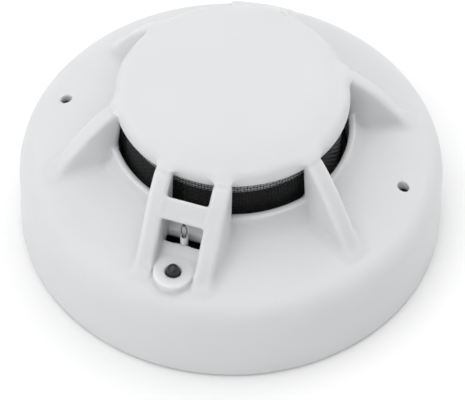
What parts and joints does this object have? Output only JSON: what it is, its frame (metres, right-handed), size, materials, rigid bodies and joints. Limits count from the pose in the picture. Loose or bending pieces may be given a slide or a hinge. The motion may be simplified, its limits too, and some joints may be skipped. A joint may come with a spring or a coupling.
{
  "type": "smoke detector",
  "caption": "Round white ceiling smoke and heat detector with a capped, ribbed smoke inlet, a sensor window and a twist-off head on a mounting base.",
  "frame": {"origin": "centre of the mounting base's back face, which rests on the ceiling", "axes": "+Z points out of the back face to the cap; +X runs along the line of the two fixing slots; the sensor window faces mostly towards -Y"},
  "size_m": [0.1, 0.1, 0.045],
  "materials": {
    "cover_white": "fine satin moulded, slightly glossy on the cap",
    "screen_black": "matte black woven wire",
    "chamber_black": "matte black moulding",
    "emitter_lens": "clear tinted lens",
    "diode_black": "dark infrared filter resin",
    "tin_plate": "bright tin plate",
    "board_black": "black solder mask",
    "chip_black": "matte epoxy package",
    "can_aluminium": "plain drawn can",
    "reed_glass": "green tinted glass tube",
    "led_smoked": "smoked clear resin",
    "bead_epoxy": "glossy dark epoxy bead",
    "lead_enamel": "dark enamelled wire",
    "sleeve_grey": "translucent grey sleeving",
    "housing_white": "fine satin moulded",
    "screw_steel": "zinc plated",
    "screw_black": "black oxide",
    "pin_brass": "bright",
    "blade_bronze": "rolled phosphor bronze strip",
    "base_white": "fine satin moulded",
    "clip_brass": "stamped strip"
  },
  "bodies": {
    "base": {"mounting_base": "base_white", "terminal_clip_1": "clip_brass", "terminal_clip_2": "clip_brass", "terminal_clip_3": "clip_brass", "terminal_clip_4": "clip_brass", "terminal_washers": "screw_steel", "terminal_screws": "screw_steel"},
    "head": {"outer_cover": "cover_white", "insect_screen": "screen_black", "chamber_cover": "chamber_black", "chamber_base": "chamber_black", "ir_emitter": "emitter_lens", "photodiode": "diode_black", "photodiode_shield": "tin_plate", "circuit_board": "board_black", "microcontroller": "chip_black", "driver_chip": "chip_black", "capacitors": "can_aluminium", "resistors": "chip_black", "surge_diode": "chip_black", "reed_switch": "reed_glass", "reed_leads": "tin_plate", "indicator_led": "led_smoked", "led_leads": "tin_plate", "thermistor_bead": "bead_epoxy", "thermistor_leads": "lead_enamel", "thermistor_sleeve": "sleeve_grey", "back_housing": "housing_white", "cover_screws": "screw_black", "board_screws": "screw_steel", "link_pins": "pin_brass", "contact_rivets": "screw_steel", "contact_blade_1": "blade_bronze", "contact_blade_2": "blade_bronze", "contact_blade_3": "blade_bronze", "contact_blade_4": "blade_bronze"}
  },
  "joints": [
    {"name": "head_twist", "type": "hinge", "parent": "base", "child": "head", "pos_m": [0, 0, 0.0044], "axis": [0, 0, 1], "range_deg": [0, 26]}
  ]
}
